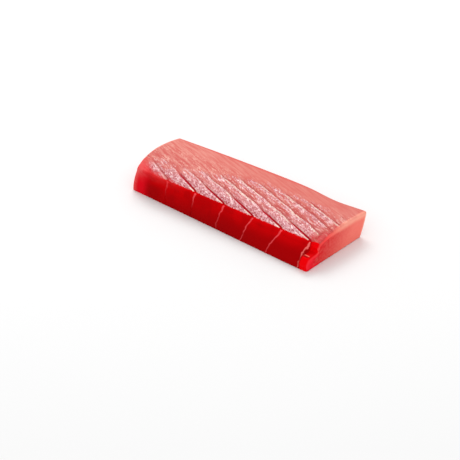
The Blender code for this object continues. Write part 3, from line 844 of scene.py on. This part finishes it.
class Flesh(Shader):
    """The flesh's material, with the fields that its layers follow, by name. Lengths are in millimetres."""

    def __init__(self):
        super().__init__("flesh")
        self.fields = {name: self.attribute(name) for name in MESH_FIELDS}
        self.fields["height"] = self.height()
        for name, (angle, stretch, *settings) in NOISES.items():
            self.fields[name] = self.noise(self.turned(angle, stretch), *settings)
        for name, (end, lean) in SLANTS.items():
            self.fields[name] = self.plus(self.fields[end], self.times(self.fields["back"], lean))
        self.add_seam_fields()
        self.add_top_fields()
        self.add_front_fields()
        self.add_end_fields()

    def follow(self, name, *run):
        """The field with this name, or its smooth step over the run, whose ends may be fields too."""
        ends = [self.fields.get(end, end) for end in run]
        return self.step(self.fields[name], *ends) if run else self.fields[name]

    def share(self, *runs):
        """Product of what the runs come to."""
        return self.times(*(self.follow(*run) for run in runs))

    def swing(self, name, amount):
        """The noise's swing about its middle, at most half this amount to each side."""
        return self.times(self.math("SUBTRACT", self.fields[name], 0.5), amount)

    def painted(self, colour, layers):
        """The colour with these layers laid over it."""
        for over, strength, *runs in layers:
            colour = self.mix(self.times(strength, self.share(*runs)), colour, over)
        return colour

    def strayed(self, offset):
        """Share of the way from one seam to the next, where the seams stray by this offset."""
        shift = self.math("DIVIDE", offset, self.fields["pitch"])
        return self.math("FRACT", self.plus(self.fields["number"], shift))

    def gaps(self, share):
        """Distances to the next seam and from the last one, at this share of the way between them."""
        pitch = self.fields["pitch"]
        return self.times(self.less(share), pitch), self.times(share, pitch)

    def add_seam_fields(self):
        """Distances from the seams, taken as straight, frayed by the grain, and wavering."""
        fields = self.fields
        fields["before"], fields["behind"] = self.gaps(self.math("FRACT", fields["number"]))
        fields["nearest"] = self.math("MINIMUM", fields["before"], fields["behind"])
        frayed = self.strayed(self.plus(self.swing("grain", FRAY), self.swing("patch", FRAY)))
        fields["ahead"], fields["past"] = self.gaps(frayed)
        fields["strandy"] = self.plus(frayed, self.swing("strand", STRAND_SWING))
        wavering = self.strayed(self.swing("wobble", WOBBLE))
        fields["line_gap"] = self.math("MINIMUM", *self.gaps(wavering))

    def add_top_fields(self):
        """Where the top is in the pale zone, how pale it is there with marbling and painted sheen, where it
        blushes, and its slits.
        """
        fields = self.fields
        uneven = self.plus(self.swing("patch", PATCH_RAGGED), self.swing("strand", STRAND_RAGGED))
        fields["extent"] = self.plus(fields["sheen"], self.times(uneven, self.share(*RAGGED_RUNS)))
        fields["near"] = self.follow(*NEAR_RUN)
        fields["rise_start"] = self.follow(*RISE_START)
        paleness = self.math("MAXIMUM", self.follow(*PALE_BY_EDGE), self.follow(*PALE_RISE))
        fields["pale"] = self.times(paleness, self.share(*PALE_RUNS))
        speckle = self.plus(self.follow(*GRAIN_SPECKLE), self.follow(*HATCH_SPECKLE))
        fields["speckled"] = self.math("MINIMUM", self.times(fields["pale"], speckle), 1.0)
        fields["blush_depth"] = self.follow(*BLUSH_DEPTH)
        fields["blush"] = self.math("MAXIMUM", self.share(*LEFT_BLUSH), self.share(*RIGHT_BLUSH))
        fields["crest_width"] = self.follow(*CREST_WIDTH)
        fields["lip_width"] = self.plus(self.follow(*LIP_WIDTH), self.swing("grain", LIP_SWING))
        fields["lip_inner"] = self.times(fields["lip_width"], LIP_INNER)
        fields["gash"] = self.share(*GASH_RUNS)

    def add_front_fields(self):
        """Where the red front is, its coral corner of painted light and coral streaks, and the width and
        fading of its seam lines.
        """
        fields = self.fields
        fields["softness"] = self.follow(*RIM_SOFTNESS)
        fields["softness_ahead"] = self.times(fields["softness"], -1.0)
        fields["nicked_rim"] = self.plus(fields["rim"], self.swing("nick", NICK_DEPTH))
        fields["red"] = self.follow("nicked_rim", "softness", "softness_ahead")
        corner = self.plus(*(self.share(*runs) for runs in CORNER_RUNS))
        fields["corner"] = self.math("MINIMUM", self.times(corner, self.follow(*CORNER_STRANDS)), 1.0)
        fields["line_width"] = self.share(*LINE_WIDTH)
        fields["line_inner"] = self.times(fields["line_width"], LINE_INNER)
        fields["late"] = self.follow(*LATE_RUN)
        fields["fade_start"], fields["fade_end"] = self.follow(*FADE_START), self.follow(*FADE_END)
        fields["fade_least"] = self.times(fields["late"], FADE_LEAST)

    def add_end_fields(self):
        """How far back the end cuts have turned coral, and the painted highlight edging round them."""
        fields = self.fields
        above = self.math("SUBTRACT", REACH_HEIGHT, fields["height"])
        fields["reach"] = self.plus(fields["back"], self.times(above, REACH_LEAN))
        fields["edge"] = self.plus(self.math("MINIMUM", fields["left"], fields["right"]), fields["inner"])
        fields["edge_width"] = self.follow(*EDGE_WIDTH)
        fields["edge_inner"] = self.times(fields["edge_width"], EDGE_INNER)
        fields["top_or_cut"] = self.math("MAXIMUM", fields["top"], fields["cut"])

    def top_colour(self):
        """Coral with its troughs, partly painted shade, and flecks, the pale wet zone, partly painted
        sheen, the red ends, the seams and the slits.
        """
        return self.painted(CORAL_NEAR, CORAL_LAYERS + PALE_LAYERS + RED_END_LAYERS + SEAM_LAYERS)

    def front_colour(self):
        """Deep red, brighter towards its top edge and at its left corner by painted light, the last segment
        with its partly painted glow, and the pink seam lines.
        """
        line_colour = self.painted(SEAM_PINK, LAST_LINE_LAYERS)
        return self.painted(DEEP_SHADED, FRONT_LAYERS + LAST_LAYERS + ((line_colour, *SEAM_LINE),))

    def add_cuts(self, colour):
        """Lays the end cuts over the colour, and then a painted highlight edging where they meet the top.
        """
        highlight_colour = self.painted(CUT_HIGHLIGHT_NEAR, CUT_HIGHLIGHT_LAYERS)
        cut_colour = self.painted(CUT_NEAR, CUT_LAYERS + ((highlight_colour, *CUT_RIM_HIGHLIGHT), CUT_LOW_LIT_LAYER))
        return self.painted(colour, ((cut_colour, *CUT_COVER), (highlight_colour, *EDGE_HIGHLIGHT)))

    def add_wetness(self):
        """A clear wet coat on the top, strongest in the pale zone, and a fine grain."""
        wet = self.times(self.share(*WET_RUNS), self.less(self.fields["red"]))
        coat = self.plus(self.times(self.fields["pale"], COAT_PALE), COAT_PLAIN)
        coat = self.plus(self.times(wet, coat, self.less(self.fields["gash"])), COAT_LEAST)
        grain = self.plus(self.fields["grain"], self.fields["hatch"])
        bump = self.node("Bump", {"Height": grain, "Distance": BUMP_HEIGHT, "Strength": 1.0})
        self.set_inputs({
            "Coat Weight": coat, "Coat Roughness": COAT_ROUGHNESS, "Coat Normal": bump.outputs["Normal"],
            "Specular IOR Level": FLESH_SPECULAR, "Roughness": self.follow(*FLESH_ROUGHNESS),
            "Normal": bump.outputs["Normal"],
        })


def flesh_material():
    flesh = Flesh()
    colour = flesh.mix(flesh.fields["red"], flesh.top_colour(), flesh.front_colour())
    flesh.set_inputs({"Base Color": flesh.add_cuts(colour)})
    flesh.add_wetness()
    return flesh.material


def floor_material():
    floor = Shader("floor")
    floor.set_inputs({"Base Color": FLOOR_COLOUR, "Roughness": FLOOR_ROUGHNESS, "Specular IOR Level": 0.0})
    return floor.material


def add_floor():
    half = FLOOR_SIZE / 2.0
    corners = [(-half, -half, 0.0), (half, -half, 0.0), (half, half, 0.0), (-half, half, 0.0)]
    data = bpy.data.meshes.new("floor")
    data.from_pydata(corners, [], [(0, 1, 2, 3)])
    made = bpy.data.objects.new("floor", data)
    made.location.z = -FLOOR_DROP
    data.materials.append(floor_material())
    bpy.context.scene.collection.objects.link(made)


def add_light():
    data = bpy.data.lights.new("key", "AREA")
    data.shape = "RECTANGLE"
    data.size, data.size_y = KEY_SIZE
    data.energy = KEY_POWER
    made = bpy.data.objects.new("key", data)
    away = Vector(KEY_DIRECTION).normalized()
    made.location = away * KEY_DISTANCE
    made.rotation_mode = "QUATERNION"
    made.rotation_quaternion = away.to_track_quat("Z", "Y")
    bpy.context.scene.collection.objects.link(made)
    world = bpy.data.worlds.new("studio")
    world.use_nodes = True
    background = world.node_tree.nodes["Background"]
    background.inputs["Color"].default_value = FILL_COLOUR
    background.inputs["Strength"].default_value = FILL_STRENGTH
    bpy.context.scene.world = world


def add_camera(shift):
    data = bpy.data.cameras.new("camera")
    data.lens, data.sensor_width = LENS, SENSOR_WIDTH
    data.clip_start, data.clip_end = CLIP_START, CLIP_END
    made = bpy.data.objects.new("camera", data)
    axes = Matrix((CAMERA_RIGHT, CAMERA_UP, CAMERA_BACK)).transposed()
    made.matrix_world = Matrix.Translation(Vector(CAMERA_PLACE) + Vector(shift)) @ axes.to_4x4()
    bpy.context.scene.collection.objects.link(made)
    bpy.context.scene.camera = made


def main():
    block = Block()
    corners = block.points.reshape(-1, 3)
    shift = -0.5 * (corners.min(axis=0) + corners.max(axis=0))
    shift[2] = 0.0
    block.raise_relief()
    block.points = block.points + shift
    loin = add_mesh("flesh", block)
    loin.data.materials.append(flesh_material())
    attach(loin, "root")
    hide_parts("loin")
    add_floor()
    add_light()
    add_camera(shift)
    bpy.context.scene.view_settings.view_transform = "Standard"


main()
